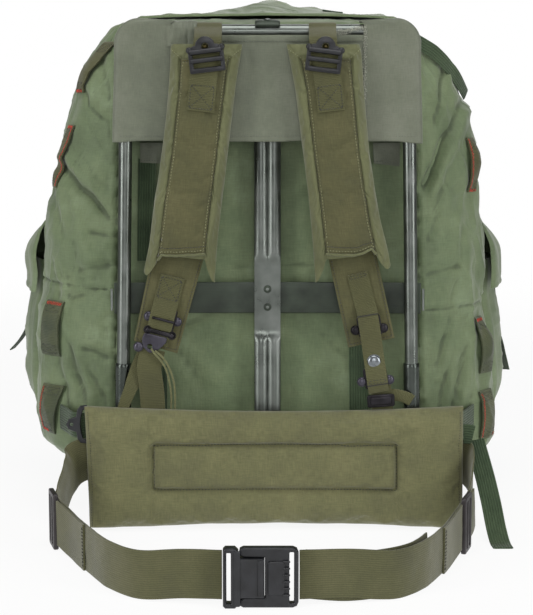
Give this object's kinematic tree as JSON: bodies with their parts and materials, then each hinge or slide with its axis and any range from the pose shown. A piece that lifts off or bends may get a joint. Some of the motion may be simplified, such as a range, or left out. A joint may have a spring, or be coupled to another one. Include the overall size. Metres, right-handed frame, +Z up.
{
  "type": "external frame backpack",
  "caption": "Large soft rucksack on a bent aluminium tube frame, with padded shoulder straps, a quilted kidney pad and a waist belt with a side release buckle.",
  "frame": {"origin": "middle of the bag's flat bottom, on the surface that it stands on", "axes": "+Z up, -Y towards the wearer's back, +X to the right as seen from the wearer's side"},
  "size_m": [0.5795, 0.6215, 0.5398],
  "materials": {
    "frame_metal": "dark green grey anodised aluminium, satin",
    "hardware_metal": "blackened steel, worn",
    "bag_nylon": "coated sage green packcloth, soft wrinkles",
    "envelope_nylon": "smooth grey green coated cloth",
    "strap_nylon": "olive packcloth over foam, quilted",
    "olive_webbing": "olive nylon webbing",
    "green_webbing": "dark green nylon webbing",
    "black_plastic": "moulded acetal"
  },
  "bodies": {
    "root": {"upper_frame_tube": "frame_metal", "lower_frame_tube": "frame_metal", "center_post": "frame_metal", "crossbar": "frame_metal", "upper_rivet": "frame_metal", "lower_rivet": "frame_metal", "frame_pocket": "envelope_nylon", "bag_body": "bag_nylon", "bag_lid": "bag_nylon", "left_pocket": "bag_nylon", "right_pocket": "bag_nylon", "center_pocket": "bag_nylon", "left_pocket_flap": "bag_nylon", "right_pocket_flap": "bag_nylon", "center_pocket_flap": "bag_nylon", "left_pocket_strap": "green_webbing", "right_pocket_strap": "green_webbing", "center_pocket_strap": "green_webbing", "left_lid_strap": "green_webbing", "right_lid_strap": "green_webbing", "upper_left_tab": "olive_webbing", "left_tab": "olive_webbing", "mid_left_tab": "olive_webbing", "bottom_left_tab": "olive_webbing", "upper_right_strap": "green_webbing", "right_tab": "olive_webbing", "mid_right_tab": "olive_webbing", "bottom_right_tab": "olive_webbing", "top_tab": "green_webbing", "left_shoulder_pad": "strap_nylon", "right_shoulder_pad": "strap_nylon", "left_strap_plate": "strap_nylon", "right_strap_plate": "strap_nylon", "left_top_webbing": "olive_webbing", "right_top_webbing": "olive_webbing", "left_ladder_buckle": "black_plastic", "right_ladder_buckle": "black_plastic", "left_bag_tie": "green_webbing", "right_bag_tie": "green_webbing", "left_lower_webbing": "olive_webbing", "release_frame": "hardware_metal", "release_lever": "hardware_metal", "left_frame_webbing": "olive_webbing", "pull_cord": "olive_webbing", "snap_strap": "olive_webbing", "upper_slide": "hardware_metal", "lower_slide": "hardware_metal", "snap_cap": "hardware_metal", "right_frame_webbing": "olive_webbing", "frame_buckle": "black_plastic", "kidney_pad": "strap_nylon", "pad_ladder_buckle": "black_plastic", "waist_belt_left": "olive_webbing", "waist_belt_right": "olive_webbing", "belt_tail": "olive_webbing", "left_tri_glide": "black_plastic", "right_tri_glide": "black_plastic", "buckle_socket": "black_plastic", "buckle_prongs": "black_plastic", "floor_tail": "green_webbing"}
  },
  "joints": []
}
